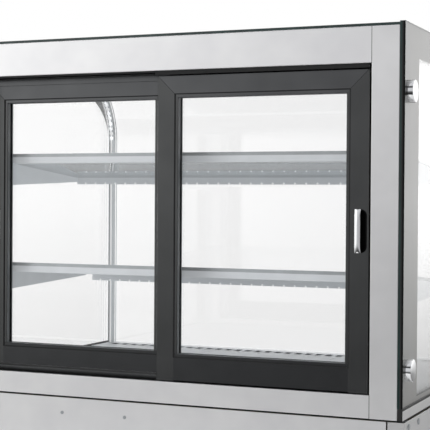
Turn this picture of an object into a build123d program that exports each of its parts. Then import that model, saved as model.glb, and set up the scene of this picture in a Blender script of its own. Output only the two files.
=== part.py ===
from build123d import *
import os

os.makedirs("parts", exist_ok=True)

# A floor-standing refrigerated display case. The doors face -Y, +X is to the right of a person
# who faces the doors, +Z is up, and the origin is on the floor under the middle. Millimetres.

# Driving sizes of the glass case
OPENING_W = 982.0          # clear width between the two posts
OPENING_H = 700.0          # clear height from the sill to the header
POST_W = 60.5
HEADER_H = 77.0
SILL_H = 49.0
CASE_DEPTH = 812.0         # from the door side to the customer side, over the base
HOOD_INSET = 2.0           # how far the bent glass stays inside the edge of the side glass
BASE_PROUD = 4.0           # how far the base stands out past the side glass
FRAME_DEPTH = 90.0         # how far the posts, sill and header reach back
WALL_T = 2.0               # steel of the posts, sill and header

# Glass
PANE_IN = 5.0
PANE_SEAL = 3.0
PANE_OUT = 4.0
HOOD_OUT = 6.0
HOOD_GAP = 9.0
HOOD_IN = 5.0
HOOD_R = 200.0             # bend radius of the outer face
SIDE_RISE = 2.5            # the side glass ends this much above the bent glass
SEAL_STRIP = 12.0          # width of the edge seal inside an insulated glass
SIDE_DROP = 24.0           # the side glass ends this much below the sill's top
SIDE_GASKET_H = 5.0
BOSS_D = 48.0
BOSS_H = 13.0
BOSS_FROM_EDGE = 37.0
BOSS_LOW = 53.0            # height of the lower boss above the sill's top
BOSS_HIGH = 641.0

# Sliding doors
DOOR_W = 498.0
DOOR_BOTTOM = 1.0          # above the sill's top
DOOR_TOP_GAP = 10.0        # below the header
DOOR_DEPTH = 25.5
DOOR_PITCH = 30.0          # from one door's face to the other's
DOOR_SET_BACK = 15.0       # face of the outer door behind the face of the sill
DOOR_END_GAP = 8.0         # between a closed door and its post
STILE_W = 43.0
TOP_RAIL_W = 42.0
BOTTOM_RAIL_W = 53.0
BEAD_W = 8.4
BEAD_STEP = 1.6
GLASS_RECESS = 13.5
DOOR_GLASS_T = 8.0
GLASS_GRIP = 8.0           # how deep the glass sits in its pocket
GASKET_FIT = 0.1
HANDLE_L = 93.0
HANDLE_W = 27.0
HANDLE_DEEP = 11.0
HANDLE_SHIFT = 3.5         # from the stile's middle towards its outer edge
TRACK_T = 2.0
TRACK_DEEP = 12.0          # depth of the groove that holds a track
TRACK_LIP = 9.0            # width of the sill in front of the track
GLIDE_L = 30.0
GLIDE_T = 12.0
RUN_GAP = 0.3

# Shelves
SHELF_TILT = 5.2
SHELF_T = 8.0
SHELF_REAR_Y = 95.0        # rear edge, from the door side
SHELF_HEIGHTS = (254.0, 519.5)
SHELF_DEPTHS = (559.0, 469.0)
SHELF_HALF_W = 529.0
REAR_RAIL_H = 15.0
REAR_RAIL_T = 14.0
ARM_T = 4.0
ARM_REACH = 500.0
ARM_ROOT_H = 70.0
ARM_TIP_H = 5.0
LIGHT_BAR_H = 18.0
LIGHT_BAR_T = 9.0
LIGHT_BAR_CUT = 4.0        # height of the cut-back lower corner
LIGHT_BAR_BACK = 3.0       # depth of that corner
LIGHT_BAR_GAP = 1.0        # between the bar's end and the arm
UPRIGHT_W = 20.0
UPRIGHT_T = 12.0
SLOT_PITCH = 30.0
SLOT_H = 14.0
SLOT_W = 4.6

# Floor of the display space and the cold well under it
DECK_DROP = 15.0           # below the sill's top
DECK_T = 1.5
DECK_PLATES = 3
DECK_GAP = 2.0
WELL_HALF_W = 495.0
WELL_REAR = 100.0
WELL_FRONT = 775.0
WELL_FLOOR = 330.0
LINER_T = 1.5
BEARER_W = 24.0
BEARER_LOW = 490.0
DRAIN_D = 24.0
DRAIN_L = 60.0
DRAIN_BACK = 60.0
GRILLE_W = 40.0
GRILLE_PITCH = 30.0
GRILLE_SLOT = 18.0
GRILLE_RIM = 8.0
INSULATION_HALF_W = 530.0
INSULATION_BOTTOM = 290.0

# Base
BASE_TOP = 500.0
BASE_GAP = 4.0             # shadow gap between the base and the glass case
BASE_BOTTOM = 90.0
SHEET_T = 1.5
FLOOR_T = 2.0              # steel floor of the base
CORNER_STRIP_W = 36.0
PANEL_GAP = 3.5
BASE_POST = 25.0
FOOT_D = 50.0
FOOT_PAD_H = 14.0
FOOT_STUD_D = 12.0
FOOT_INSET_X = 62.0
FOOT_INSET_Y = 62.0
FOOT_BOSS_D = 28.0
FOOT_BOSS_H = 30.0
STUD_FIT = 0.05
LOUVRE_ROWS = 9
LOUVRE_COLS = 2
LOUVRE_L = 130.0
LOUVRE_H = 6.0
LOUVRE_PITCH = 17.0
RIVET_D = 8.0
RIVET_XS = (-250.0, -86.5)
RIVET_DROP = 35.0
PLUG_D = 14.0
PLUG_YS = (35.0, 117.0)
PLUG_DROP = 13.5

# Cooling machine
FAN_D = 130.0
FAN_HUB_D = 46.0
FAN_W = 26.0
FAN_BLADES = 5
FAN_TIP_GAP = 4.0
HUB_ROUND = 6.0
BLADE_T = 2.0
BLADE_CHORD = 46.0
BLADE_PITCH = 38.0         # degrees from the plane of the fan
BLADE_ROOT = 4.0           # how deep a blade is rooted in the hub
SHAFT_GRIP = 14.0          # length of shaft inside the hub
MOTOR_D = 60.0
MOTOR_L = 34.0
MOTOR_ARM_W = 10.0
MOTOR_ARM_T = 3.0
FAN_PLATE_T = 2.0
FAN_COLLAR_L = 30.0
EVAP_Z = 412.0
EVAP_FAN_Y = 300.0
EVAP_HALF_W = 330.0
EVAP_Y0 = 420.0
EVAP_Y1 = 500.0
EVAP_H = 130.0
COIL_CLEARANCE = 8.0       # under a finned coil
CONDENSER_FAN_Y = 104.0
CONDENSER_FAN_Z = 180.0
FAN_XS = (-160.0, 160.0)
SHAFT_D = 6.0
SHAFT_FIT = 0.05
COMPRESSOR_D = 160.0
COMPRESSOR_H = 165.0
COMPRESSOR_X = 90.0
COMPRESSOR_Y = 420.0
MOUNT_D = 24.0             # rubber mounts under the compressor
MOUNT_H = 14.0
DOME_R = 42.0
SHELL_FOOT_R = 10.0
SEAM_H = 72.0              # height of the welded seam above the foot plate
PIPE_D = 8.0
PIPE_BEND = 20.0
TRAY_HALF_W = 140.0
TRAY_L = 144.0
TRAY_H = 40.0
TRAY_T = 3.0
CONDENSER_X = -310.0
CONDENSER_W = 300.0
CONDENSER_H = 145.0
CONDENSER_T = 44.0
CONDENSER_Y = 48.0
FIN_PITCH = 12.0
FIN_T = 1.0
TUBE_D = 9.5

# Controls
CONTROL_X = 340.0
CONTROL_Z = 228.0
CONTROL_W = 78.0
CONTROL_H = 36.0
BEZEL_T = 3.0
BEZEL_LIP = 3.3            # how far the bezel covers the panel round its hole
WINDOW_X0 = -30.0          # display window, from the middle of the bezel
WINDOW_X1 = 12.0
WINDOW_H = 22.0
WINDOW_FIT = 0.3
KEY_X = 24.0               # keys, from the middle of the bezel
KEY_PITCH = 16.0
KEY_L = 9.2
KEY_D = 9.0
KEY_PROUD = 4.5            # the keys stand out furthest on the door side
SWITCH_X = 420.0
SWITCH_W = 20.0
SWITCH_H = 28.0
INLET_X = 400.0
INLET_Z = 150.0

# Places that follow from the sizes above
HALF_OPEN = OPENING_W / 2
POST_OUT = HALF_OPEN + POST_W
PANE_X0 = POST_OUT
PANE_X1 = PANE_X0 + PANE_IN
PANE_X2 = PANE_X1 + PANE_SEAL
PANE_X3 = PANE_X2 + PANE_OUT
BASE_HALF_W = PANE_X3 + BASE_PROUD
HALF_D = (CASE_DEPTH - KEY_PROUD) / 2
SILL_BOTTOM = BASE_TOP + BASE_GAP
SILL_TOP = SILL_BOTTOM + SILL_H
HEADER_BOTTOM = SILL_TOP + OPENING_H
HEADER_TOP = HEADER_BOTTOM + HEADER_H
HOOD_TOP = HEADER_TOP + HOOD_OUT
SIDE_TOP = HOOD_TOP + SIDE_RISE
HOOD_FRONT = CASE_DEPTH - HOOD_INSET
DOOR_Z0 = SILL_TOP + DOOR_BOTTOM
DOOR_Z1 = HEADER_BOTTOM - DOOR_TOP_GAP
DECK_TOP = SILL_TOP - DECK_DROP
RIM_TOP = SILL_BOTTOM + LINER_T
EPS = 1.0


def write(shape, name):
    export_step(shape, "parts/" + name + ".step")


def deep(y):
    """A distance from the door side becomes a place on the Y axis."""
    return y - HALF_D


def block(x0, x1, y0, y1, z0, z1):
    """A box between two corners, with y measured from the door side."""
    centre = Location(((x0 + x1) / 2, deep((y0 + y1) / 2), (z0 + z1) / 2))
    return centre * Box(abs(x1 - x0), abs(y1 - y0), abs(z1 - z0))


def rod(x, y, z, d, length, axis="Z"):
    """A round bar that starts at a point and runs along an axis."""
    turn = {"Z": (0, 0, 0), "Y": (-90, 0, 0), "X": (0, 90, 0)}[axis]
    start = Location((x, deep(y), z), turn)
    return start * Cylinder(d / 2, length, align=(Align.CENTER, Align.CENTER, Align.MIN))


def prism_x(points, x0, x1):
    """A section drawn in depth and height, drawn out along X."""
    line = Polyline(*[(x0, deep(y), z) for y, z in points], close=True)
    return extrude(make_face(line), amount=x1 - x0, dir=(1, 0, 0))


def prism_z(points, z0, z1):
    """A plan outline drawn out upwards."""
    line = Polyline(*[(x, deep(y), z0) for x, y in points], close=True)
    return extrude(make_face(line), amount=z1 - z0, dir=(0, 0, 1))


def prism_y(points, y0, y1):
    """An outline drawn in width and height, drawn out in depth."""
    line = Polyline(*[(x, deep(y0), z) for x, z in points], close=True)
    return extrude(make_face(line), amount=y1 - y0, dir=(0, 1, 0))


def both(shape):
    """The shape and its mirror image on the other side."""
    return Compound(children=[shape, mirror(shape, about=Plane.YZ)])


def group(shapes):
    return Compound(children=list(shapes))


# The steel frame round the door opening

def track_groove(z0, z1):
    """The groove that takes a door track, over the whole opening."""
    return block(-HALF_OPEN, HALF_OPEN, TRACK_LIP, track_back(), z0, z1)


def track_back():
    return DOOR_SET_BACK + DOOR_PITCH + DOOR_DEPTH + TRACK_T + 2 * EPS


def sill():
    body = block(-HALF_OPEN, HALF_OPEN, 0, FRAME_DEPTH, SILL_BOTTOM, SILL_TOP)
    body -= track_groove(SILL_TOP - TRACK_DEEP, SILL_TOP + EPS)
    body -= block(-HALF_OPEN - EPS, HALF_OPEN + EPS, WALL_T, FRAME_DEPTH - WALL_T,
                  SILL_BOTTOM + WALL_T, SILL_TOP - TRACK_DEEP - WALL_T)
    low = body.edges().filter_by(Axis.X).group_by(Axis.Y)[0]
    return fillet(low, 1.2)


def header():
    body = block(-HALF_OPEN, HALF_OPEN, 0, FRAME_DEPTH, HEADER_BOTTOM, HEADER_TOP)
    body -= track_groove(HEADER_BOTTOM - EPS, HEADER_BOTTOM + TRACK_DEEP)
    body -= block(-HALF_OPEN - EPS, HALF_OPEN + EPS, WALL_T, FRAME_DEPTH - WALL_T,
                  HEADER_BOTTOM + TRACK_DEEP + WALL_T, HEADER_TOP - WALL_T)
    low = body.edges().filter_by(Axis.X).group_by(Axis.Y)[0]
    return fillet(low, 1.2)


def post(side):
    a = side * HALF_OPEN
    b = side * POST_OUT
    body = block(min(a, b), max(a, b), 0, FRAME_DEPTH, SILL_BOTTOM, HEADER_TOP)
    body -= block(min(a, b) + WALL_T, max(a, b) - WALL_T, WALL_T, FRAME_DEPTH - WALL_T,
                  SILL_BOTTOM - EPS, HEADER_TOP + EPS)
    face = body.edges().filter_by(Axis.Z).group_by(Axis.Y)[0]
    return fillet(face, 1.2)


# Door tracks

def rib_places():
    """Depths of the three ribs of a track, front, middle and back."""
    middle = DOOR_SET_BACK + DOOR_DEPTH + (DOOR_PITCH - DOOR_DEPTH - TRACK_T) / 2
    return TRACK_LIP, middle, track_back() - TRACK_T


def bottom_track():
    front, middle, back = rib_places()
    low = SILL_TOP - TRACK_DEEP
    end = HALF_OPEN
    parts = block(-end, end, front, track_back(), low, low + TRACK_T)
    parts += block(-end, end, front, front + TRACK_T, low, SILL_TOP)
    parts += block(-end, end, middle, middle + TRACK_T, low, SILL_TOP + 8)
    parts += block(-end, end, back, back + TRACK_T, low, SILL_TOP + 8)
    return parts


def top_track():
    front, middle, back = rib_places()
    high = HEADER_BOTTOM + TRACK_DEEP
    drop = HEADER_BOTTOM - 19
    end = HALF_OPEN
    parts = block(-end, end, front, track_back(), high - TRACK_T, high)
    parts += block(-end, end, front, front + TRACK_T, HEADER_BOTTOM, high)
    parts += block(-end, end, middle, middle + TRACK_T, drop, high)
    parts += block(-end, end, back, back + TRACK_T, drop, high)
    for step in range(3):
        z = HEADER_BOTTOM - 8 + 4.5 * step
        parts += block(-end, end, middle - 2.2, middle, z, z + 1.4)
    return parts


# Sliding doors

def door_place(side):
    """Left edge, right edge and face depth of a closed door. The right door is the outer one."""
    if side > 0:
        right = HALF_OPEN - DOOR_END_GAP
        return right - DOOR_W, right, DOOR_SET_BACK
    left = DOOR_END_GAP - HALF_OPEN
    return left, left + DOOR_W, DOOR_SET_BACK + DOOR_PITCH


def member_section(width):
    """Section of a door profile: across from the outer edge, and back from the face."""
    inner = width + BEAD_W
    pocket = inner - GLASS_GRIP
    front = GLASS_RECESS - GASKET_FIT
    back = GLASS_RECESS + DOOR_GLASS_T + GASKET_FIT
    return [
        (0, 1.5), (1.5, 0), (width, 0), (width, BEAD_STEP + 1.5), (width + 1.2, BEAD_STEP + 1.5),
        (width + 1.2, BEAD_STEP), (inner - 1, BEAD_STEP), (inner, BEAD_STEP + 1), (inner, front),
        (pocket, front), (pocket, back), (inner, back), (inner, DOOR_DEPTH), (0, DOOR_DEPTH),
    ]


def stile(x_edge, direction, face):
    points = [(x_edge + direction * w, face + y) for w, y in member_section(STILE_W)]
    return prism_z(points, DOOR_Z0, DOOR_Z1)


def rail(z_edge, direction, face, x0, x1, width):
    points = [(face + y, z_edge + direction * w) for w, y in member_section(width)]
    return prism_x(points, x0, x1)


def mitre_cut(x_edge, direction):
    """The part of a top corner that belongs to the stile: everything outside the mitre."""
    run = STILE_W + BEAD_W
    rise = TOP_RAIL_W + BEAD_W
    outline = [
        (x_edge - direction * EPS, DOOR_Z1 + EPS * rise / run),
        (x_edge + direction * run, DOOR_Z1 - rise),
        (x_edge + direction * run, DOOR_Z0 - EPS),
        (x_edge - direction * EPS, DOOR_Z0 - EPS),
    ]
    return prism_y(outline, 0, FRAME_DEPTH)


def door_frame(side):
    x0, x1, face = door_place(side)
    top = rail(DOOR_Z1, -1, face, x0, x1, TOP_RAIL_W)
    bottom = rail(DOOR_Z0, 1, face, x0 + STILE_W, x1 - STILE_W, BOTTOM_RAIL_W)
    pieces = []
    for edge, direction in ((x0, 1), (x1, -1)):
        keep = mitre_cut(edge, direction)
        upright = stile(edge, direction, face) & keep
        low_end = DOOR_Z0 + BOTTOM_RAIL_W + BEAD_W
        inner = edge + direction * (STILE_W + BEAD_W + EPS)
        step = edge + direction * STILE_W
        upright -= block(min(step, inner), max(step, inner), 0, FRAME_DEPTH, DOOR_Z0 - EPS, low_end)
        if direction == -side:
            upright -= handle_pocket(side)
        pieces.append(upright)
        top -= keep
    return group(pieces + [top, bottom])


def door_glass_box(side, grow):
    x0, x1, face = door_place(side)
    reach = STILE_W + BEAD_W - GLASS_GRIP + 1 - grow
    low = DOOR_Z0 + BOTTOM_RAIL_W + BEAD_W - GLASS_GRIP + 1 - grow
    high = DOOR_Z1 - TOP_RAIL_W - BEAD_W + GLASS_GRIP - 1 + grow
    return block(x0 + reach, x1 - reach, face + GLASS_RECESS, face + GLASS_RECESS + DOOR_GLASS_T, low, high)


def door_gasket(side):
    """A thin black liner in the glass pocket, round the edge of the pane."""
    return door_glass_box(side, 1) - door_glass_box(side, 0)


def handle_centre(side):
    x0, x1, face = door_place(side)
    edge = x1 if side > 0 else x0
    x = edge - side * (STILE_W / 2 - HANDLE_SHIFT)
    return x, face, (DOOR_Z0 + DOOR_Z1) / 2


def lens(side, width, length, y0, y1):
    """An upright oblong with round ends."""
    x, face, z = handle_centre(side)
    plane = Plane((x, deep(face + y1), z), x_dir=(0, 0, 1), z_dir=(0, -1, 0))
    return extrude(plane * SlotOverall(length, width), amount=y1 - y0)


def handle_pocket(side):
    return lens(side, HANDLE_W - 3, HANDLE_L - 3, -EPS, HANDLE_DEEP)


def door_handle(side):
    """A flush pull: a cup with a thin collar, and a curved lip to pull on."""
    fit = 0.2
    cup = lens(side, HANDLE_W - 3 - fit, HANDLE_L - 3 - fit, 0, HANDLE_DEEP - fit)
    cup -= lens(side, HANDLE_W - 6, HANDLE_L - 6, -EPS, HANDLE_DEEP - 1.5)
    collar = lens(side, HANDLE_W, HANDLE_L, -1.2, 0) - lens(side, HANDLE_W - 6, HANDLE_L - 6, -2, 1)
    x, face, z = handle_centre(side)
    bar = lens(side, HANDLE_W - 3, HANDLE_L - 5, -1.2, 2.0)
    half = HANDLE_W / 2
    inner = x - side * half
    outer = x - side * 1.0
    keep = block(min(inner, outer), max(inner, outer), face - 5, face + 5, z - HANDLE_L, z + HANDLE_L)
    return cup + collar + (bar & keep)


def door_glides(side):
    """Four plastic shoes that carry the door in its tracks."""
    x0, x1, face = door_place(side)
    y0 = face + (DOOR_DEPTH - GLIDE_T) / 2
    low = SILL_TOP - TRACK_DEEP + TRACK_T + RUN_GAP
    high = HEADER_BOTTOM + TRACK_DEEP - TRACK_T - RUN_GAP
    shoes = []
    for x in (x0 + 2 * STILE_W, x1 - 2 * STILE_W - GLIDE_L):
        shoes.append(block(x, x + GLIDE_L, y0, y0 + GLIDE_T, low, DOOR_Z0))
        shoes.append(block(x, x + GLIDE_L, y0, y0 + GLIDE_T, DOOR_Z1, high))
    return group(shoes)


# Side glass, bent front glass and their rails

def side_sheet(x0, x1, trim):
    """A pane or seal of the side glass, with the curved front corner."""
    low = SILL_TOP - SIDE_DROP + trim
    sheet = block(x0, x1, trim, CASE_DEPTH - trim, low, SIDE_TOP - trim)
    corner = sheet.edges().filter_by(Axis.X).sort_by(lambda e: e.center().Y + e.center().Z)[-1]
    return fillet(corner, HOOD_R + SIDE_RISE - trim)


def side_glass(side):
    inner = side_sheet(PANE_X0, PANE_X1, 0)
    outer = side_sheet(PANE_X2, PANE_X3, 0)
    both_panes = group([inner, outer])
    return both_panes if side > 0 else mirror(both_panes, about=Plane.YZ)


def side_seal(side):
    ring = side_sheet(PANE_X1, PANE_X2, 0) - side_sheet(PANE_X1 - EPS, PANE_X2 + EPS, SEAL_STRIP)
    foot_low = SILL_TOP - SIDE_DROP - SIDE_GASKET_H
    foot = block(PANE_X0, PANE_X3, 0, CASE_DEPTH, foot_low, SILL_TOP - SIDE_DROP)
    seal = group([ring, foot])
    return seal if side > 0 else mirror(seal, about=Plane.YZ)


def side_rail():
    top = SILL_TOP - SIDE_DROP - SIDE_GASKET_H
    return block(PANE_X0, PANE_X3, 0, CASE_DEPTH, SILL_BOTTOM, top)


def hood_block(offset, y0, z0, half_w):
    body = block(-half_w, half_w, y0, HOOD_FRONT - offset, z0, HOOD_TOP - offset)
    corner = body.edges().filter_by(Axis.X).sort_by(lambda e: e.center().Y + e.center().Z)[-1]
    return fillet(corner, HOOD_R - offset)


def hood_sheet(outer, inner, y0, z0, half_w):
    cut = hood_block(inner, y0 - EPS, z0 - EPS, half_w + EPS)
    return hood_block(outer, y0, z0, half_w) - cut


def hood_glass():
    low = SILL_TOP - SIDE_DROP
    outer = hood_sheet(0, HOOD_OUT, 0, low, POST_OUT)
    inner_at = HOOD_OUT + HOOD_GAP
    inner = hood_sheet(inner_at, inner_at + HOOD_IN, FRAME_DEPTH, low, POST_OUT)
    return group([outer, inner])


def hood_spacer():
    low = SILL_TOP - SIDE_DROP
    full = hood_sheet(HOOD_OUT, HOOD_OUT + HOOD_GAP, FRAME_DEPTH, low, POST_OUT)
    hollow = hood_sheet(
        HOOD_OUT - EPS, HOOD_OUT + HOOD_GAP + EPS,
        FRAME_DEPTH + SEAL_STRIP, low + SEAL_STRIP, POST_OUT - SEAL_STRIP,
    )
    return full - hollow


def front_rail():
    thick = HOOD_OUT + HOOD_GAP + HOOD_IN
    top = SILL_TOP - SIDE_DROP
    return block(-POST_OUT, POST_OUT, HOOD_FRONT - thick, HOOD_FRONT, SILL_BOTTOM, top)


def glass_bosses():
    """Round chrome caps on the bolts that hold the side glass to the posts."""
    caps = []
    for side in (-1, 1):
        for height in (BOSS_LOW, BOSS_HIGH):
            cap = rod(PANE_X3, BOSS_FROM_EDGE, SILL_TOP + height, BOSS_D, BOSS_H, "X")
            rim = cap.edges().filter_by(GeomType.CIRCLE).sort_by(Axis.X)[-1]
            cap = fillet(rim, 2.0)
            caps.append(cap if side > 0 else mirror(cap, about=Plane.YZ))
    return group(caps)


# Shelves

def tilted(shape, height):
    """Turn a level shelf part down towards the customer about the shelf's rear edge."""
    pivot = Axis((0, deep(SHELF_REAR_Y), SILL_TOP + height), (1, 0, 0))
    return shape.rotate(pivot, -SHELF_TILT)


def shelf_glass(height, depth):
    top = SILL_TOP + height
    pane = block(-SHELF_HALF_W, SHELF_HALF_W, SHELF_REAR_Y, SHELF_REAR_Y + depth, top - SHELF_T, top)
    return tilted(pane, height)


def shelf_rear_rail(height):
    top = SILL_TOP + height - SHELF_T
    rail_block = block(
        -SHELF_HALF_W, SHELF_HALF_W, SHELF_REAR_Y, SHELF_REAR_Y + REAR_RAIL_T, top - REAR_RAIL_H, top
    )
    return tilted(rail_block, height)


def shelf_light_bar(height, depth):
    """An extruded lamp bar under the front edge, cut back at its lower corner."""
    top = SILL_TOP + height - SHELF_T
    y1 = SHELF_REAR_Y + depth
    half = SHELF_HALF_W - ARM_T - LIGHT_BAR_GAP
    section = [
        (y1 - LIGHT_BAR_T, top), (y1, top), (y1, top - LIGHT_BAR_H + LIGHT_BAR_CUT),
        (y1 - LIGHT_BAR_BACK, top - LIGHT_BAR_H), (y1 - LIGHT_BAR_T, top - LIGHT_BAR_H),
    ]
    return tilted(prism_x(section, -half, half), height)


def shelf_arm(height, side):
    """A tapered steel arm under one end of a shelf, hooked into the upright."""
    top = SILL_TOP + height - SHELF_T
    x1 = SHELF_HALF_W
    y0 = SHELF_REAR_Y + REAR_RAIL_T
    outline = [
        (y0, top), (y0 + ARM_REACH, top), (y0 + ARM_REACH, top - ARM_TIP_H),
        (y0, top - ARM_ROOT_H),
    ]
    arm = prism_x(outline, x1 - ARM_T, x1)
    arm = tilted(arm, height)
    return arm if side > 0 else mirror(arm, about=Plane.YZ)


def shelf_frames():
    arms = [shelf_arm(h, side) for h in SHELF_HEIGHTS for side in (-1, 1)]
    return group(arms + [shelf_rear_rail(h) for h in SHELF_HEIGHTS])


def shelf_upright(side):
    """A slotted steel channel behind a post, which carries the arms."""
    x0 = SHELF_HALF_W
    x1 = POST_OUT
    bar = block(x0, x1, FRAME_DEPTH, FRAME_DEPTH + UPRIGHT_T, DECK_TOP, HEADER_BOTTOM)
    count = int((HEADER_BOTTOM - DECK_TOP - 2 * SLOT_PITCH) / SLOT_PITCH)
    for step in range(count):
        z = DECK_TOP + SLOT_PITCH * (step + 1)
        middle = (x0 + x1) / 2
        bar -= block(middle - SLOT_W / 2, middle + SLOT_W / 2, FRAME_DEPTH + 3,
                     FRAME_DEPTH + UPRIGHT_T + EPS, z, z + SLOT_H)
    return bar if side > 0 else mirror(bar, about=Plane.YZ)


def roof_lamp():
    """A lamp bar under the roof, behind the header."""
    top = HOOD_TOP - HOOD_OUT - HOOD_GAP - HOOD_IN
    y0 = FRAME_DEPTH
    section = [(y0, top), (y0 + 34, top), (y0 + 34, top - 8), (y0 + 12, top - 20), (y0, top - 20)]
    return prism_x(section, -SHELF_HALF_W, SHELF_HALF_W)


# Floor of the display space and the cold well

def plate_width():
    full = 2 * (POST_OUT - 2 * DECK_GAP)
    return (full - DECK_GAP * (DECK_PLATES - 1)) / DECK_PLATES


def plate_joints():
    """Places across the case where two floor plates meet, over a bearer."""
    pitch = plate_width() + DECK_GAP
    return [(step - DECK_PLATES / 2) * pitch for step in range(1, DECK_PLATES)]


def deck_plates():
    legs = DECK_TOP - DECK_T - RIM_TOP
    y0 = WELL_REAR + GRILLE_W
    y1 = WELL_FRONT - GRILLE_W
    each = plate_width()
    plates = []
    for step in range(DECK_PLATES):
        x0 = -POST_OUT + 2 * DECK_GAP + step * (each + DECK_GAP)
        plate = block(x0, x0 + each, y0, y1, RIM_TOP, DECK_TOP)
        plate -= block(x0 + DECK_T, x0 + each - DECK_T, y0 + DECK_T, y1 - DECK_T,
                       RIM_TOP - EPS, RIM_TOP + legs)
        plates.append(plate)
    return group(plates)


def air_grille(y0, y1):
    """A slotted strip that lets the cold air out of the well or back into it."""
    half = POST_OUT - 2 * DECK_GAP
    strip = block(-half, half, y0, y1, RIM_TOP, DECK_TOP)
    strip -= block(-half + DECK_T, half - DECK_T, y0 + DECK_T, y1 - DECK_T, RIM_TOP - EPS, DECK_TOP - DECK_T)
    count = int(2 * half / GRILLE_PITCH) - 1
    for step in range(count):
        x = (step - (count - 1) / 2) * GRILLE_PITCH
        strip -= block(x - GRILLE_SLOT / 2, x + GRILLE_SLOT / 2, y0 + GRILLE_RIM, y1 - GRILLE_RIM, DECK_TOP - 2 * DECK_T, DECK_TOP + EPS)
    return strip


def air_grilles():
    rear = air_grille(FRAME_DEPTH + UPRIGHT_T + DECK_GAP, WELL_REAR + GRILLE_W - DECK_GAP)
    front_edge = HOOD_FRONT - HOOD_OUT - HOOD_GAP - HOOD_IN
    front = air_grille(WELL_FRONT - GRILLE_W + DECK_GAP, front_edge - DECK_GAP)
    return group([rear, front])


def well_liner():
    shell = block(-WELL_HALF_W, WELL_HALF_W, WELL_REAR, WELL_FRONT, WELL_FLOOR, SILL_BOTTOM)
    rim_front = HOOD_FRONT - HOOD_OUT - HOOD_GAP - HOOD_IN
    rim = block(-POST_OUT, POST_OUT, FRAME_DEPTH, rim_front, SILL_BOTTOM, RIM_TOP)
    t = LINER_T
    hollow = block(-WELL_HALF_W + t, WELL_HALF_W - t, WELL_REAR + t, WELL_FRONT - t,
                   WELL_FLOOR + t, RIM_TOP + EPS)
    spout = rod(0, WELL_FRONT - DRAIN_BACK, WELL_FLOOR - DRAIN_L, DRAIN_D, DRAIN_L + t)
    drain = rod(0, WELL_FRONT - DRAIN_BACK, WELL_FLOOR - DRAIN_L - EPS, DRAIN_D - 4, DRAIN_L + 20)
    liner = shell + rim + spout - hollow - drain
    for x in plate_joints():
        liner += block(x - BEARER_W / 2, x + BEARER_W / 2, WELL_REAR + t, WELL_FRONT - t, BEARER_LOW, RIM_TOP)
    return liner


def base_seal():
    """A black rubber frame in the shadow gap between the base and the glass case."""
    inset = 6.0
    ring = block(-BASE_HALF_W + inset, BASE_HALF_W - inset, inset, CASE_DEPTH - inset, BASE_TOP, SILL_BOTTOM)
    return ring - block(-WELL_HALF_W - RUN_GAP, WELL_HALF_W + RUN_GAP, WELL_REAR - RUN_GAP,
                        WELL_FRONT + RUN_GAP, BASE_TOP - EPS, SILL_BOTTOM + EPS)


def well_insulation():
    side = 20.0
    body = block(-INSULATION_HALF_W, INSULATION_HALF_W, side, CASE_DEPTH - side, INSULATION_BOTTOM, BASE_TOP)
    body -= block(-WELL_HALF_W, WELL_HALF_W, WELL_REAR, WELL_FRONT, WELL_FLOOR, BASE_TOP + EPS)
    return body - rod(0, WELL_FRONT - DRAIN_BACK, INSULATION_BOTTOM - EPS, DRAIN_D + 0.4, 60)


# Base

def base_side_panel(side):
    """A folded sheet: the side, with a return at each end that makes the corner strip."""
    t = SHEET_T
    x = BASE_HALF_W
    w = CORNER_STRIP_W
    d = CASE_DEPTH
    outline = [
        (x - w, 0), (x, 0), (x, d), (x - w, d), (x - w, d - t), (x - t, d - t), (x - t, t), (x - w, t),
    ]
    panel = prism_z(outline, BASE_BOTTOM, BASE_TOP)
    return panel if side > 0 else mirror(panel, about=Plane.YZ)


def base_wall(front):
    """A folded panel between the two corner strips, with returns along its upright edges."""
    half = BASE_HALF_W - CORNER_STRIP_W - PANEL_GAP
    t = SHEET_T
    fold = 18.0
    outline = [
        (-half, 0), (half, 0), (half, fold), (half - t, fold), (half - t, t), (-half + t, t),
        (-half + t, fold), (-half, fold),
    ]
    if front:
        outline = [(x, CASE_DEPTH - y) for x, y in outline]
    return prism_z(outline, BASE_BOTTOM, BASE_TOP)


def louvres(x_middle, y0):
    """Rows of long vent slots with round ends."""
    cuts = []
    for col in range(LOUVRE_COLS):
        x = x_middle + (col - (LOUVRE_COLS - 1) / 2) * (LOUVRE_L + 14)
        for row in range(LOUVRE_ROWS):
            z = BASE_BOTTOM + 30 + row * LOUVRE_PITCH
            plane = Plane((x, deep(y0 - EPS), z), x_dir=(1, 0, 0), z_dir=(0, 1, 0))
            cuts.append(extrude(plane * SlotOverall(LOUVRE_L, LOUVRE_H), amount=SHEET_T + 2 * EPS))
    return cuts


def base_rear_panel():
    panel = base_wall(False)
    for cut in louvres(CONDENSER_X, 0):
        panel -= cut
    fit = 0.2
    panel -= block(CONTROL_X - CONTROL_W / 2 + 3, CONTROL_X + CONTROL_W / 2 - 3, -EPS, 3,
                   CONTROL_Z - CONTROL_H / 2 + 3, CONTROL_Z + CONTROL_H / 2 - 3)
    half_w = SWITCH_W / 2 + 1.5 + fit
    half_h = SWITCH_H / 2 + 1.5 + fit
    panel -= block(SWITCH_X - half_w, SWITCH_X + half_w, -EPS, 3, CONTROL_Z - half_h, CONTROL_Z + half_h)
    return panel - block(INLET_X - 15, INLET_X + 15, -EPS, 3, INLET_Z - 12, INLET_Z + 12)


def base_front_panel():
    panel = base_wall(True)
    for cut in louvres(0, CASE_DEPTH - SHEET_T):
        panel -= cut
    return panel


def foot_places():
    x = BASE_HALF_W - FOOT_INSET_X
    return [(name, side * x, y) for name, side, y in (
        ("rear_left", -1, FOOT_INSET_Y), ("rear_right", 1, FOOT_INSET_Y),
        ("front_left", -1, CASE_DEPTH - FOOT_INSET_Y), ("front_right", 1, CASE_DEPTH - FOOT_INSET_Y),
    )]


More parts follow.
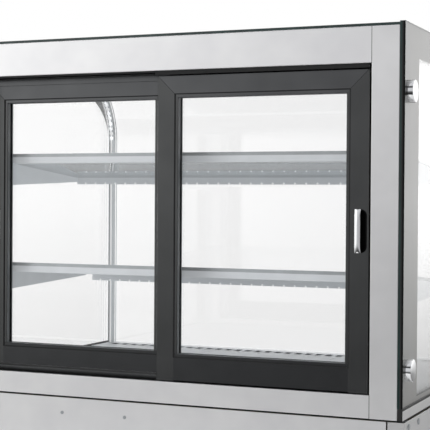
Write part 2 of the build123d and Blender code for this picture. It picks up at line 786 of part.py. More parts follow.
def base_floor():
    """The bottom pan, with a threaded boss over each foot."""
    half = BASE_HALF_W - SHEET_T
    t = 2.0
    pan = block(-half, half, 20, CASE_DEPTH - 20, BASE_BOTTOM, BASE_BOTTOM + t)
    for _, x, y in foot_places():
        pan += rod(x, y, BASE_BOTTOM, FOOT_BOSS_D, FOOT_BOSS_H)
        pan -= rod(x, y, BASE_BOTTOM - EPS, FOOT_STUD_D + 2 * STUD_FIT, FOOT_BOSS_H + 2 * EPS)
    return pan


def base_frame():
    """Square tubes: four corner posts, and rails under the cold well."""
    half = BASE_HALF_W - SHEET_T
    w = BASE_POST
    low = BASE_BOTTOM + FLOOR_T
    tubes = []
    y_near = SHEET_T
    y_far = CASE_DEPTH - SHEET_T
    for x0, x1 in ((-half, -half + w), (half - w, half)):
        tubes.append(block(x0, x1, y_near + 18, y_near + 18 + w, low, BASE_TOP))
        tubes.append(block(x0, x1, y_far - 18 - w, y_far - 18, low, BASE_TOP))
        tubes.append(block(x0, x1, y_near + 18 + w, y_far - 18 - w, INSULATION_BOTTOM - w, INSULATION_BOTTOM))
    for y0 in (y_near + 18, y_far - 18 - w):
        tubes.append(block(-half + w, half - w, y0, y0 + w, INSULATION_BOTTOM - w, INSULATION_BOTTOM))
    return group(tubes)


def foot(x, y):
    """A levelling foot: a round pad, a hexagon to turn it by, and its stud."""
    pad = rod(x, y, 0, FOOT_D, FOOT_PAD_H)
    rim = pad.edges().filter_by(GeomType.CIRCLE).sort_by(Axis.Z)[-1]
    pad = fillet(rim, 4)
    nut = Location((x, deep(y), FOOT_PAD_H)) * extrude(RegularPolygon(11, 6), amount=10)
    stud = rod(x, y, FOOT_PAD_H, FOOT_STUD_D, BASE_BOTTOM - FOOT_PAD_H + FOOT_BOSS_H - 4)
    return pad + nut + stud


def panel_screws():
    """Rivet heads on the rear panel and round plugs on both sides."""
    heads = []
    for x in RIVET_XS:
        heads.append(rod(x, -1.0, BASE_TOP - RIVET_DROP, RIVET_D, 1.0, "Y"))
    for y in PLUG_YS:
        plug = rod(BASE_HALF_W, y, BASE_TOP - PLUG_DROP, PLUG_D, 1.6, "X")
        heads.append(plug)
        heads.append(mirror(plug, about=Plane.YZ))
    return group(heads)


# Cooling machine

def fan_rotor(x, y, z, d):
    """A rotor that turns about Y: a domed hub and pitched blades."""
    hub = rod(x, y, z, FAN_HUB_D, FAN_W, "Y")
    rim = hub.edges().filter_by(GeomType.CIRCLE).sort_by(Axis.Y)[0]
    hub = fillet(rim, HUB_ROUND)
    rotor = hub
    for step in range(FAN_BLADES):
        reach = d / 2
        blade = Pos(reach / 2, 0, 0) * Box(reach, BLADE_T, BLADE_CHORD)
        blade = Rot(BLADE_PITCH, 0, 0) * blade
        blade -= Cylinder(FAN_HUB_D / 2 - BLADE_ROOT, d, rotation=(90, 0, 0))
        blade &= Cylinder(reach, FAN_W - 2, rotation=(90, 0, 0))
        turn = Rot(0, step * 360 / FAN_BLADES, 0)
        rotor += Pos(x, deep(y + FAN_W / 2), z) * turn * blade
    return rotor - rod(x, y + FAN_W - SHAFT_GRIP, z, SHAFT_D + 2 * SHAFT_FIT, SHAFT_GRIP + EPS, "Y")


def fan_mount(x, y, z):
    """The motor behind a fan, with the shaft that carries the rotor."""
    motor = rod(x, y + FAN_W + 2, z, MOTOR_D, MOTOR_L, "Y")
    return motor + rod(x, y + FAN_W - 12, z, SHAFT_D, 16, "Y")


def motor_arms(x, y, z, reach):
    """Four flat arms from the motor out to its plate."""
    half = MOTOR_ARM_W / 2
    arms = block(x - reach, x + reach, y, y + MOTOR_ARM_T, z - half, z + half)
    return arms + block(x - half, x + half, y, y + MOTOR_ARM_T, z - reach, z + reach)


def fan_housing(x0, x1, z0, z1, y, centres, d):
    """A plate with a collar round each fan, and the motors on arms behind it."""
    t = FAN_PLATE_T
    collar = FAN_COLLAR_L
    plate = block(x0, x1, y - t, y, z0, z1)
    for x, z in centres:
        plate += rod(x, y, z, d + 2 * FAN_TIP_GAP + 2 * t, collar, "Y")
    for x, z in centres:
        plate -= rod(x, y - t - EPS, z, d + 2 * FAN_TIP_GAP, collar + 10, "Y")
    for x, z in centres:
        arms = motor_arms(x, y + collar, z, d / 2 + FAN_TIP_GAP + t)
        plate += arms + fan_mount(x, y + 1, z)
    return plate


def evaporator_fan_plate():
    centres = [(x, EVAP_Z) for x in FAN_XS]
    t = LINER_T + RUN_GAP
    return fan_housing(-WELL_HALF_W + t, WELL_HALF_W - t, WELL_FLOOR + LINER_T, BEARER_LOW - RUN_GAP,
                       EVAP_FAN_Y, centres, FAN_D)


def fin_coil(x0, x1, y0, y1, z0, z1, rows, layers):
    """Thin fins across a stack of tubes that run along X, with bends at the ends."""
    count = int((x1 - x0) / FIN_PITCH)
    places = []
    for layer in range(layers):
        for row in range(rows):
            y = y0 + (y1 - y0) * (layer + 0.5) / layers
            z = z0 + (z1 - z0) * (row + 0.5) / rows
            places.append((y, z))
    tubes = [rod(x0 - 10, y, z, TUBE_D, x1 - x0 + 20, "X") for y, z in places]
    fins = []
    start = (x0 + x1) / 2 - (count - 1) * FIN_PITCH / 2
    for step in range(count):
        x = start + step * FIN_PITCH
        fins.append(block(x - FIN_T / 2, x + FIN_T / 2, y0, y1, z0, z1))
    ends = [block(x0 - 3, x0 - 1, y0, y1, z0 - 8, z1 + 4), block(x1 + 1, x1 + 3, y0, y1, z0 - 8, z1 + 4)]
    coil = tubes[0]
    for piece in tubes[1:] + fins + ends:
        coil += piece
    return coil


def evaporator():
    low = WELL_FLOOR + LINER_T + COIL_CLEARANCE
    return fin_coil(-EVAP_HALF_W, EVAP_HALF_W, EVAP_Y0, EVAP_Y1, low, low + EVAP_H, 4, 2)


def condenser():
    low = BASE_BOTTOM + FLOOR_T + COIL_CLEARANCE
    half = CONDENSER_W / 2
    return fin_coil(CONDENSER_X - half, CONDENSER_X + half, CONDENSER_Y, CONDENSER_Y + CONDENSER_T,
                    low, low + CONDENSER_H, 5, 2)


def condenser_shroud():
    half = CONDENSER_W / 2
    centres = [(CONDENSER_X, CONDENSER_FAN_Z)]
    return fan_housing(CONDENSER_X - half, CONDENSER_X + half, BASE_BOTTOM + FLOOR_T, INSULATION_BOTTOM - BASE_POST - 2,
                       CONDENSER_FAN_Y, centres, FAN_D)


def compressor():
    """A sealed compressor: a domed steel shell on a foot plate with four rubber mounts."""
    r = COMPRESSOR_D / 2
    low = BASE_BOTTOM + FLOOR_T
    foot_z = low + MOUNT_H
    body = rod(COMPRESSOR_X, COMPRESSOR_Y, foot_z, COMPRESSOR_D, COMPRESSOR_H - 18)
    rims = body.edges().filter_by(GeomType.CIRCLE).sort_by(Axis.Z)
    body = fillet(rims[-1], DOME_R)
    body = fillet(body.edges().filter_by(GeomType.CIRCLE).sort_by(Axis.Z)[0], SHELL_FOOT_R)
    seam = rod(COMPRESSOR_X, COMPRESSOR_Y, foot_z + SEAM_H, COMPRESSOR_D + 5, 4)
    body += seam
    half = r + 14
    body += block(COMPRESSOR_X - half, COMPRESSOR_X + half, COMPRESSOR_Y - 60, COMPRESSOR_Y + 60,
                  foot_z, foot_z + 3)
    body += block(COMPRESSOR_X + r - 8, COMPRESSOR_X + r + 16, COMPRESSOR_Y - 24, COMPRESSOR_Y + 24,
                  foot_z + 40, foot_z + 90)
    for dx in (-half + 12, half - 12):
        for dy in (-46, 46):
            body += rod(COMPRESSOR_X + dx, COMPRESSOR_Y + dy, low, MOUNT_D, MOUNT_H)
    return body


def refrigerant_pipes():
    """The discharge pipe to the condenser and the suction pipe from the evaporator."""
    z = BASE_BOTTOM + 60.0
    x_end = CONDENSER_X + CONDENSER_W / 2 + 10
    y_coil = CONDENSER_Y + CONDENSER_T * 0.75
    x_shell = COMPRESSOR_X - COMPRESSOR_D / 2
    discharge = FilletPolyline(
        (x_shell, deep(COMPRESSOR_Y), z), (x_shell - 90, deep(COMPRESSOR_Y), z),
        (x_shell - 90, deep(y_coil), z), (x_end + 4, deep(y_coil), z), radius=PIPE_BEND,
    )
    pipe_a = sweep(Plane(discharge @ 0, z_dir=discharge % 0) * Circle(PIPE_D / 2), discharge)
    up = INSULATION_BOTTOM - RUN_GAP
    top = BASE_BOTTOM + FLOOR_T + COMPRESSOR_H - 4
    return group([pipe_a, rod(COMPRESSOR_X, COMPRESSOR_Y, top, 10, up - top)])


def condensate_tray():
    """A shallow tray that catches the melt water under the drain."""
    low = BASE_BOTTOM + FLOOR_T
    y1 = WELL_FRONT - 6
    y0 = y1 - TRAY_L
    t = TRAY_T
    tray = block(-TRAY_HALF_W, TRAY_HALF_W, y0, y1, low, low + TRAY_H)
    return tray - block(-TRAY_HALF_W + t, TRAY_HALF_W - t, y0 + t, y1 - t, low + t, low + TRAY_H + EPS)


# Controls

def control_bezel():
    half_w = CONTROL_W / 2
    half_h = CONTROL_H / 2
    x = CONTROL_X
    z = CONTROL_Z
    bezel = block(x - half_w, x + half_w, -BEZEL_T, 0, z - half_h, z + half_h)
    lip = BEZEL_LIP
    bezel += block(x - half_w + lip, x + half_w - lip, 0, 45, z - half_h + lip, z + half_h - lip)
    bezel -= block(x + WINDOW_X0, x + WINDOW_X1, -BEZEL_T - EPS, 2, z - WINDOW_H / 2, z + WINDOW_H / 2)
    for dz in (-KEY_PITCH / 2, KEY_PITCH / 2):
        bezel -= rod(x + KEY_X, -4, z + dz, KEY_D + 0.6, 10, "Y")
    return bezel


def control_display():
    fit = WINDOW_FIT
    half_h = WINDOW_H / 2 - fit
    return block(CONTROL_X + WINDOW_X0 + fit, CONTROL_X + WINDOW_X1 - fit, -2.6, 2,
                 CONTROL_Z - half_h, CONTROL_Z + half_h)


def control_key(dz):
    return rod(CONTROL_X + KEY_X, -KEY_PROUD, CONTROL_Z + dz, KEY_D, KEY_L, "Y")


def switch_frame():
    half_w = SWITCH_W / 2 + 1.5
    half_h = SWITCH_H / 2 + 1.5
    x = SWITCH_X
    z = CONTROL_Z
    frame = block(x - half_w - 2, x + half_w + 2, -2, 0, z - half_h - 2, z + half_h + 2)
    frame += block(x - half_w, x + half_w, 0, 24, z - half_h, z + half_h)
    return frame - block(x - half_w + 1.2, x + half_w - 1.2, -3, 14, z - half_h + 1.2, z + half_h - 1.2)


def rocker():
    """The rocker of the mains switch. It tips about X, on the middle of its width."""
    x = SWITCH_X
    z = CONTROL_Z
    half_h = SWITCH_H / 2 - 0.6
    half_w = SWITCH_W / 2 - 0.3
    outline = [(-3.6, z + half_h), (-1.4, z), (-3.6, z - half_h), (0.5, z - half_h), (7, z - 6), (7, z + 6),
               (0.5, z + half_h)]
    body = prism_x(outline, x - half_w, x + half_w)
    pin = rod(x - half_w - 0.2, 2, z, 3, 2 * half_w + 0.4, "X")
    return body + pin


def power_inlet():
    """A recessed mains inlet with three flat pins."""
    x = INLET_X
    z = INLET_Z
    inlet = block(x - 24, x + 24, -2.5, 0, z - 15, z + 15)
    inlet += block(x - 14.5, x + 14.5, 0, 26, z - 11.5, z + 11.5)
    inlet -= block(x - 12.5, x + 12.5, -3, 18, z - 9, z + 9)
    for dx, dz in ((-7, -1), (0, 3), (7, -1)):
        inlet += block(x + dx - 1, x + dx + 1, 3, 20, z + dz - 2.5, z + dz + 2.5)
    return inlet


def door_brushes():
    """Black pile strips that close the gap between the doors and their tracks."""
    front, middle, back = rib_places()
    z = SILL_TOP + 8
    end = HALF_OPEN
    return block(-end, end, middle, middle + TRACK_T, z, z + 5)


SIDES = {"left": -1, "right": 1}

write(sill(), "sill")
write(header(), "header")
write(group([bottom_track(), top_track()]), "door_tracks")
write(door_brushes(), "door_brush_seal")
write(hood_glass(), "hood_glass")
write(group([hood_spacer(), side_seal(-1), side_seal(1)]), "glass_edge_seals")
write(glass_bosses(), "glass_bosses")
write(group([front_rail(), both(side_rail())]), "glass_rails")
write(shelf_frames(), "shelf_frames")
write(group([shelf_upright(-1), shelf_upright(1)]), "shelf_uprights")
write(roof_lamp(), "roof_lamp")
write(deck_plates(), "deck_plates")
write(air_grilles(), "air_grilles")
write(well_liner(), "well_liner")
write(well_insulation(), "well_insulation")
write(base_seal(), "base_seal")
write(base_rear_panel(), "base_rear_panel")
write(base_front_panel(), "base_front_panel")
write(base_floor(), "base_floor")
write(base_frame(), "base_frame")
write(panel_screws(), "panel_screws")
write(evaporator(), "evaporator")
write(evaporator_fan_plate(), "evaporator_fan_plate")
write(condenser(), "condenser")
write(condenser_shroud(), "condenser_shroud")
write(fan_rotor(CONDENSER_X, CONDENSER_FAN_Y + 1, CONDENSER_FAN_Z, FAN_D), "condenser_fan")
write(compressor(), "compressor")
write(refrigerant_pipes(), "refrigerant_pipes")
write(condensate_tray(), "condensate_tray")
write(control_bezel(), "control_bezel")
write(control_display(), "control_display")
write(control_key(KEY_PITCH / 2), "control_key_up")
write(control_key(-KEY_PITCH / 2), "control_key_down")
write(switch_frame(), "switch_frame")
write(rocker(), "switch_rocker")
write(power_inlet(), "power_inlet")

for name, side in SIDES.items():
    write(post(side), "post_" + name)
    write(side_glass(side), "side_glass_" + name)
    write(base_side_panel(side), "base_side_panel_" + name)
    write(door_frame(side), "door_" + name + "_frame")
    write(door_glass_box(side, 0), "door_" + name + "_glass")
    write(door_gasket(side), "door_" + name + "_gasket")
    write(door_handle(side), "door_" + name + "_handle")
    write(door_glides(side), "door_" + name + "_glides")

shelves = list(zip(SHELF_HEIGHTS, SHELF_DEPTHS))
write(group([shelf_glass(height, depth) for height, depth in shelves]), "shelf_glasses")
write(group([shelf_light_bar(height, depth) for height, depth in shelves]), "shelf_lights")

for name, x in (("left", FAN_XS[0]), ("right", FAN_XS[1])):
    write(fan_rotor(x, EVAP_FAN_Y + 1, EVAP_Z, FAN_D), "evaporator_fan_" + name)
for name, x, y in foot_places():
    write(foot(x, y), "foot_" + name)
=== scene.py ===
# %% [markdown]
# # A refrigerated display case, seen from the side where the staff open it
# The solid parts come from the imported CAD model. This script gives each of them a real finish and
# adds the thin things that a solid model leaves out: the print on the glass, the joint lines, the
# crowns of the handles and the lenses of the lamps. One unit is one metre, and +Z is up.

# %% The frame, and the box that the CAD model fills
import bpy
import bmesh
import math
from mathutils import Matrix, Vector


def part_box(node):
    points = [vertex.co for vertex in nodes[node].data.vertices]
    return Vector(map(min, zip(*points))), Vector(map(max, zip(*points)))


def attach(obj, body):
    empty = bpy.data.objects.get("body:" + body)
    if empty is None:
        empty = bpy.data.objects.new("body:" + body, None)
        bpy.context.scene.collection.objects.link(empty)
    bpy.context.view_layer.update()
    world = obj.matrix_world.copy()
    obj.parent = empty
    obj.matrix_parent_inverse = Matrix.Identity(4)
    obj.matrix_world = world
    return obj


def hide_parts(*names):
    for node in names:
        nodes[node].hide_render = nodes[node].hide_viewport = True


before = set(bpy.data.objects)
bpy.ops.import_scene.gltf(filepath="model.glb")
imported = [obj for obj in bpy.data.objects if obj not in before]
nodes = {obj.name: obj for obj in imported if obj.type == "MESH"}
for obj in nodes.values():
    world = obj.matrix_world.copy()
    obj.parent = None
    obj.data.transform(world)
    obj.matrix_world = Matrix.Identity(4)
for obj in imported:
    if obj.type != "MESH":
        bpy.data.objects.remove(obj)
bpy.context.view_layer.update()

# %% [markdown]
# ## The camera
# The straight edges of the posts, the sill and the header give the place and the lens.

# %% Camera
CAMERA_AT = (1.2691, -3.0276, 0.9610)
YAW, PITCH, ROLL = (math.radians(d) for d in (23.3727, -0.6322, 0.3787))
LENS_MM = 108.28

ahead = Vector((-math.sin(YAW) * math.cos(PITCH), math.cos(YAW) * math.cos(PITCH), math.sin(PITCH)))
level = Vector((math.cos(YAW), math.sin(YAW), 0))
upright = level.cross(ahead)
right = math.cos(ROLL) * level + math.sin(ROLL) * upright
up = math.cos(ROLL) * upright - math.sin(ROLL) * level
turn = Matrix((right, up, -ahead)).transposed().to_4x4()
camera = bpy.data.objects.new("camera", bpy.data.cameras.new("camera"))
camera.data.lens = LENS_MM
camera.data.sensor_width = 36
camera.matrix_world = Matrix.Translation(CAMERA_AT) @ turn
bpy.context.collection.objects.link(camera)
scene = bpy.context.scene
scene.camera = camera
scene.view_settings.view_transform = "Standard"
print("camera at", CAMERA_AT, "lens", LENS_MM)

# %% [markdown]
# ## The studio
# The background is plain white. The room that the steel mirrors is bright on the left of the doors and
# grey on the right, so the steel grows darker towards the right.

# %% Helpers for colours and nodes
def linear(code, alpha=1.0):
    """The linear colour of a hex sRGB code."""
    parts = [int(code[i:i + 2], 16) / 255 for i in (1, 3, 5)]
    return (*[p / 12.92 if p <= 0.04045 else ((p + 0.055) / 1.055) ** 2.4 for p in parts], alpha)


def add(tree, kind, inputs=None, **settings):
    """Adds a shader node, sets it, and fills or links its inputs."""
    node = tree.nodes.new("ShaderNode" + kind)
    for name, value in settings.items():
        setattr(node, name, value)
    for key, value in (inputs or {}).items():
        if isinstance(value, bpy.types.NodeSocket):
            tree.links.new(value, node.inputs[key])
        else:
            node.inputs[key].default_value = value
    return node


def ramp(tree, value, *stops):
    """A colour ramp with (place, hex colour) stops."""
    node = add(tree, "ValToRGB", {0: value})
    band = node.color_ramp.elements
    while len(band) < len(stops):
        band.new(0.5)
    for element, (place, code) in zip(band, stops):
        element.position = place
        element.color = linear(code)
    return node.outputs[0]


def remap(tree, value, low, high, start=0.3, end=0.7):
    """Spreads a grey value that runs from start to end over low to high."""
    return add(tree, "MapRange", {0: value, 1: start, 2: end, 3: low, 4: high}).outputs[0]


def blend(tree, amount, first, second):
    """Mixes two colours, given as sockets or hex codes."""
    first, second = (linear(c) if isinstance(c, str) else c for c in (first, second))
    return add(tree, "Mix", {0: amount, 6: first, 7: second}, data_type="RGBA").outputs[2]


# %% World: white behind, and a soft room for the light and the reflections
# From the left of the doors to the right: white, then grey.
WALL_FROM, WALL_TO = -0.9, 0.75
WALL_TONES = ((0.0, "#FFFFFF"), (0.20, "#FFFFFF"), (0.36, "#B4B4B6"), (1.0, "#A0A0A2"))
# The wall on the customer's side is pale all along.
FAR_FROM, FAR_TO, FAR_TONE = 0.2, 0.85, "#EDEDED"
# From the ground up: one dark band below the doors and one above them give the bright parts a shape.
BAND_TONES = ((0.0, "#8A8A8A"), (0.30, "#303030"), (0.42, "#8C8C8C"), (0.50, "#F8F8F8"),
              (0.72, "#FFFFFF"), (0.77, "#4A4A4A"), (0.84, "#5A5A5A"), (0.90, "#FFFFFF"))
ROOM_STRENGTH = 1.68

world = bpy.data.worlds.new("studio")
scene.world = world
world.use_nodes = True
tree = world.node_tree
tree.nodes.clear()
direction = add(tree, "TexCoord").outputs["Generated"]
axes = add(tree, "SeparateXYZ", {0: direction})
across = remap(tree, axes.outputs["X"], 0.0, 1.0, WALL_FROM, WALL_TO)
behind = remap(tree, axes.outputs["Y"], 0.0, 1.0, FAR_FROM, FAR_TO)
height = remap(tree, axes.outputs["Z"], 0.0, 1.0, -1.0, 1.0)
wall = blend(tree, behind, ramp(tree, across, *WALL_TONES), FAR_TONE)
bands = ramp(tree, height, *BAND_TONES)
room = add(tree, "VectorMath", {0: wall, 1: bands}, operation="MULTIPLY").outputs[0]
path = add(tree, "LightPath")
straight = add(tree, "Math", {0: path.outputs["Is Camera Ray"], 1: path.outputs["Is Transmission Ray"]},
               operation="MAXIMUM")
soft = add(tree, "Background", {0: room, 1: ROOM_STRENGTH})
plain = add(tree, "Background", {0: linear("#FFFFFF"), 1: 1.0})
mixed = add(tree, "MixShader", {0: straight.outputs[0], 1: soft.outputs[0], 2: plain.outputs[0]})
add(tree, "OutputWorld", {0: mixed.outputs[0]})
print("room strength:", ROOM_STRENGTH)


# %% Lamps of the studio
def area_lamp(name, at, target, size, power):
    """A lamp that lights the paint and the floor but isn't mirrored in the steel."""
    data = bpy.data.lights.new(name, "AREA")
    data.shape = "RECTANGLE"
    data.size, data.size_y = size
    data.energy = power
    lamp = bpy.data.objects.new(name, data)
    lamp.location = at
    lamp.rotation_euler = (Vector(target) - Vector(at)).to_track_quat("-Z", "Y").to_euler()
    bpy.context.collection.objects.link(lamp)
    lamp.visible_camera = False
    lamp.visible_glossy = False


area_lamp("key", (-2.6, -3.2, 2.6), (0, 0, 0.9), (2.2, 2.2), 46)
area_lamp("top", (0.2, 0.4, 3.6), (0, 0, 0.9), (2.4, 2.0), 34)
area_lamp("side", (3.4, 0.6, 1.8), (0.4, 0, 0.8), (1.6, 2.0), 20)
print("lamps:", [lamp.name for lamp in bpy.data.lights])


# %% Floor that keeps the shadow and fades into the white
def new_object(name, mesh, *materials):
    """An object with this mesh and these materials, in the scene."""
    made = bpy.data.objects.new(name, mesh)
    for material in materials:
        mesh.materials.append(material)
    bpy.context.collection.objects.link(made)
    return made


def new_material(name):
    """A material without nodes, and its node tree."""
    material = bpy.data.materials.new(name)
    material.use_nodes = True
    material.node_tree.nodes.clear()
    return material, material.node_tree


# The floor's radius, where it starts to fade, and the part of its radius where it has faded.
FLOOR_REACH, FADE_FROM, FADE_TO = 1.9, 0.95, 0.97
floor_paint, tree = new_material("matt white floor")
spot = add(tree, "TexCoord").outputs["Object"]
away = add(tree, "VectorMath", {0: spot}, operation="LENGTH").outputs["Value"]
fade = add(tree, "MapRange", {0: away, 1: FADE_FROM, 2: FLOOR_REACH * FADE_TO},
           interpolation_type="SMOOTHSTEP")
matt = add(tree, "BsdfDiffuse", {0: linear("#F2F2F2")})
glow = add(tree, "Emission", {0: linear("#FFFFFF"), 1: 1.0})
mixed = add(tree, "MixShader", {0: fade.outputs[0], 1: matt.outputs[0], 2: glow.outputs[0]})
add(tree, "OutputMaterial", {0: mixed.outputs[0]})
disc = bmesh.new()
bmesh.ops.create_circle(disc, cap_ends=True, segments=96, radius=FLOOR_REACH)
floor_mesh = bpy.data.meshes.new("floor")
disc.to_mesh(floor_mesh)
disc.free()
floor = new_object("floor", floor_mesh, floor_paint)
print("floor reaches", FLOOR_REACH, "m")


# %% [markdown]
# ## The finishes
# Each pattern is drawn in object space, and its sizes are in millimetres of the real thing.

# %% Shared pieces of the finishes
def place_mm(tree, size):
    """Object coordinates in millimetres, divided by the size of the pattern along each axis."""
    scale = tuple(1000 / s for s in size)
    return add(tree, "Mapping", {0: add(tree, "TexCoord").outputs["Object"], 3: scale}).outputs[0]


def noise(tree, size, detail):
    """Grey noise whose blotches have this size in millimetres along X, Y and Z."""
    return add(tree, "TexNoise", {"Vector": place_mm(tree, size), "Scale": 1.0, "Detail": detail,
                                  "Roughness": 0.55}).outputs["Fac"]


# The cosine between the rounded and the true normal, on a flat face and on a fully worn edge.
FLAT, WORN = 0.995, 0.80


def edge_wear(tree, radius_mm):
    """Rounded normals, and a mask that is 1 on the worn edges."""
    rounded = add(tree, "Bevel", {0: radius_mm / 1000}, samples=4).outputs[0]
    true = add(tree, "NewGeometry").outputs["True Normal"]
    same = add(tree, "VectorMath", {0: rounded, 1: true}, operation="DOT_PRODUCT").outputs["Value"]
    return rounded, remap(tree, same, 0.0, 1.0, FLAT, WORN)


def surface(tree, **inputs):
    """A Principled surface; words in the names of its inputs are joined by underscores."""
    shader = add(tree, "BsdfPrincipled", {k.replace("_", " "): v for k, v in inputs.items()})
    add(tree, "OutputMaterial", {0: shader.outputs[0]})


# The size of the slow changes of tone, on metals and on the rest.
STAIN_MM, SHADE_MM = (90, 90, 90), (60, 60, 60)


def metal(name, dark, light, roughness, grain, depth_mm=0.004, wear_mm=0.6, worn="#F4F4F4", streak=0.03):
    """A metal with a grain (mm along X, Y, Z), soft stains, and edges polished by use."""
    material, tree = new_material(name)
    rounded, worn_edge = edge_wear(tree, wear_mm)
    streaks = noise(tree, grain, 4.0)
    stains = noise(tree, STAIN_MM, 2.0)
    tone = blend(tree, remap(tree, stains, 0, 1), dark, light)
    tone = blend(tree, remap(tree, streaks, 0.0, streak), tone, "#FFFFFF")
    tone = blend(tree, worn_edge, tone, worn)
    bump = add(tree, "Bump", {"Strength": 0.6, "Distance": depth_mm / 1000, "Height": streaks,
                              "Normal": rounded}).outputs[0]
    rough = remap(tree, streaks, roughness - 0.02, roughness + 0.03)
    surface(tree, Base_Color=tone, Metallic=1.0, Roughness=rough, Normal=bump)
    return material


def plain_solid(name, dark, light, roughness, blotch, depth_mm=0.05, wear_mm=0.4, worn=None, **more):
    """A non-metal with a moulded or painted skin, whose texture has the given size in mm."""
    material, tree = new_material(name)
    rounded, worn_edge = edge_wear(tree, wear_mm)
    skin = noise(tree, blotch, 3.0)
    tone = blend(tree, remap(tree, noise(tree, SHADE_MM, 2.0), 0, 1), dark, light)
    tone = blend(tree, worn_edge, tone, worn or light)
    bump = add(tree, "Bump", {"Strength": 0.5, "Distance": depth_mm / 1000, "Height": skin,
                              "Normal": rounded}).outputs[0]
    rough = remap(tree, skin, roughness - 0.05, roughness + 0.06)
    surface(tree, Base_Color=tone, Roughness=rough, Normal=bump, **more)
    return material


# %% Metals
# Brushed stainless steel: long grain along the sheet, so highlights smear across it.
ACROSS, UPWARD, INWARD = (160, 0.35, 0.35), (0.35, 0.35, 160), (0.35, 160, 0.35)
steel_x = metal("stainless steel brushed lengthways", "#E4E4E5", "#ECECEC", 0.34, ACROSS)
steel_z = metal("stainless steel brushed upright", "#E2E2E2", "#EAEAEA", 0.34, UPWARD)
steel_y = metal("stainless steel brushed front to back", "#CFCFCF", "#D6D6D6", 0.34, INWARD)
# Satin steel inside the case: an even, soft grey without a direction.
steel_matt = metal("stainless steel satin sheet", "#C4C8CB", "#D0D4D7", 0.52, (1.2, 1.2, 1.2))
# Dark anodised aluminium: satin, nearly black where it reflects the dark side of the room.
anodised_rail = metal("dark anodised aluminium drawn across", "#505152", "#565758", 0.24, (40, 0.4, 0.4),
                      0.001, 0.5, "#77787A", 0.01)
anodised_stile = metal("dark anodised aluminium drawn upright", "#4A4B4B", "#505151", 0.24, (0.4, 0.4, 40),
                       0.001, 0.5, "#77787A", 0.01)
# The bottom rails get a darker copy of the same anodising: painted shade.
anodised_low_painted_shade = metal("dark anodised aluminium of the bottom rails", "#404142", "#454647", 0.24,
                     (40, 0.4, 0.4), 0.001, 0.5, "#77787A", 0.01)
# Chrome: a mirror that picks up the black recess and the white room.
chrome = metal("polished chrome", "#E2E3E4", "#ECEDEE", 0.06, (30, 30, 30), 0.0005, 0.25, "#FFFFFF")
# Zinc: dull and slightly cloudy, for what holds the machine.
zinc = metal("zinc plated steel", "#9EA2A5", "#B4B8BB", 0.38, (7, 7, 7), 0.004, 0.4, "#C8CCCE")
# Bare fins: fine upright lines, brighter than the zinc round them.
fin_metal = metal("bare aluminium fins", "#B8BBBD", "#D2D4D6", 0.36, (0.4, 0.4, 30), 0.002, 0.3)
# Copper: the one warm colour of the machine.
copper = metal("drawn copper tube", "#A85F3C", "#C4774C", 0.30, (5, 5, 5), 0.004, 0.4, "#D99A70")
print("metals made")

# %% Plastics, foams and rubbers
# Moulded plastic: a fine grain breaks up its highlights.
black_plastic = plain_solid("moulded black plastic", "#141515", "#1C1D1D", 0.42, (0.6, 0.6, 0.6), 0.06)
# Rubber: dark and nearly without shine, so that seals and joints read as lines.
rubber = plain_solid("black sealing rubber", "#0C0D0D", "#141515", 0.60, (1.5, 1.5, 1.5), 0.04)
# Foam: pale yellow, and rough enough to look soft.
foam = plain_solid("rigid polyurethane foam", "#D9CFA8", "#E6DDB9", 0.85, (1.4, 1.4, 1.4), 0.30)
# Stoved paint: a smooth black shell under a thin gloss.
black_paint = plain_solid("black stoved paint", "#0F1011", "#17181A", 0.30, (2.5, 2.5, 2.5), 0.05,
                          Coat_Weight=0.4)
# Smoked window: nearly black and glossy, as a display is when it is off.
window = plain_solid("smoked display window", "#0B0707", "#120A0A", 0.10, (9, 9, 9), 0.01)
# Brush pile: fine upright hair, which swallows the light.
pile = plain_solid("grey brush pile", "#2B2C2C", "#3C3D3D", 0.90, (0.3, 0.3, 9), 0.40, Sheen_Weight=0.5)
# Ceramic print: matt grey enamel, slightly speckled as it is screened on.
enamel = plain_solid("grey ceramic print on glass", "#75746F", "#7C7B78", 0.55, (0.8, 0.8, 0.8), 0.01, 0.01)
# Frosted print: its emission is painted light that stands for the daylight shining through it, so it stays
# pale when seen from inside.
frosted_painted_light = plain_solid("pale frosted print on glass", "#B4B9BC", "#BEC3C6", 0.50, (0.8, 0.8, 0.8), 0.01, 0.01,
                      Emission_Color=linear("#A9AEB1"), Emission_Strength=0.35)
# Black enamel: it hides the seal behind the edge of the outer pane, and shows as a black line.
black_enamel = plain_solid("black enamel on a glass edge", "#060707", "#0B0C0C", 0.45, (2, 2, 2), 0.01,
                           0.4, Specular_IOR_Level=0.12)
# Pale stoved paint on the shelf arms and lamp bars; its emission is painted light, as bright inside as the
# lamps make it.
grey_paint_painted_light = plain_solid("pale grey stoved paint", "#B9BDC0", "#C3C7CA", 0.40, (2.5, 2.5, 2.5), 0.03, 0.4,
                         "#D3D6D8", Emission_Color=linear("#B4B8BB"), Emission_Strength=0.42)
# Spacers: their emission is painted light, as bright as the light that falls through the glass round them.
spacer_painted_light = plain_solid("white warm-edge spacer bar", "#DADDDF", "#E6E8E9", 0.55, (1, 1, 1), 0.02, 0.4,
                     Emission_Color=linear("#F4F5F6"), Emission_Strength=0.6)
# Painted shade: the insides of the handle cups and the gaps beside the posts are coloured near black, as they
# lie in shadow.
painted_shade_black = plain_solid("matt black painted shade", "#040404", "#070707", 0.80, (1.5, 1.5, 1.5), 0.04,
                        Specular_IOR_Level=0.08)
# Glazing bead: mid grey, so that the step round the door glass shows.
bead_plastic = plain_solid("grey glazing bead", "#66696B", "#707375", 0.45, (1, 1, 1), 0.02, 0.4)
print("solids made")


# %% Glass: clear faces, dark green cut edges
SMEAR_MM = (120, 120, 90)


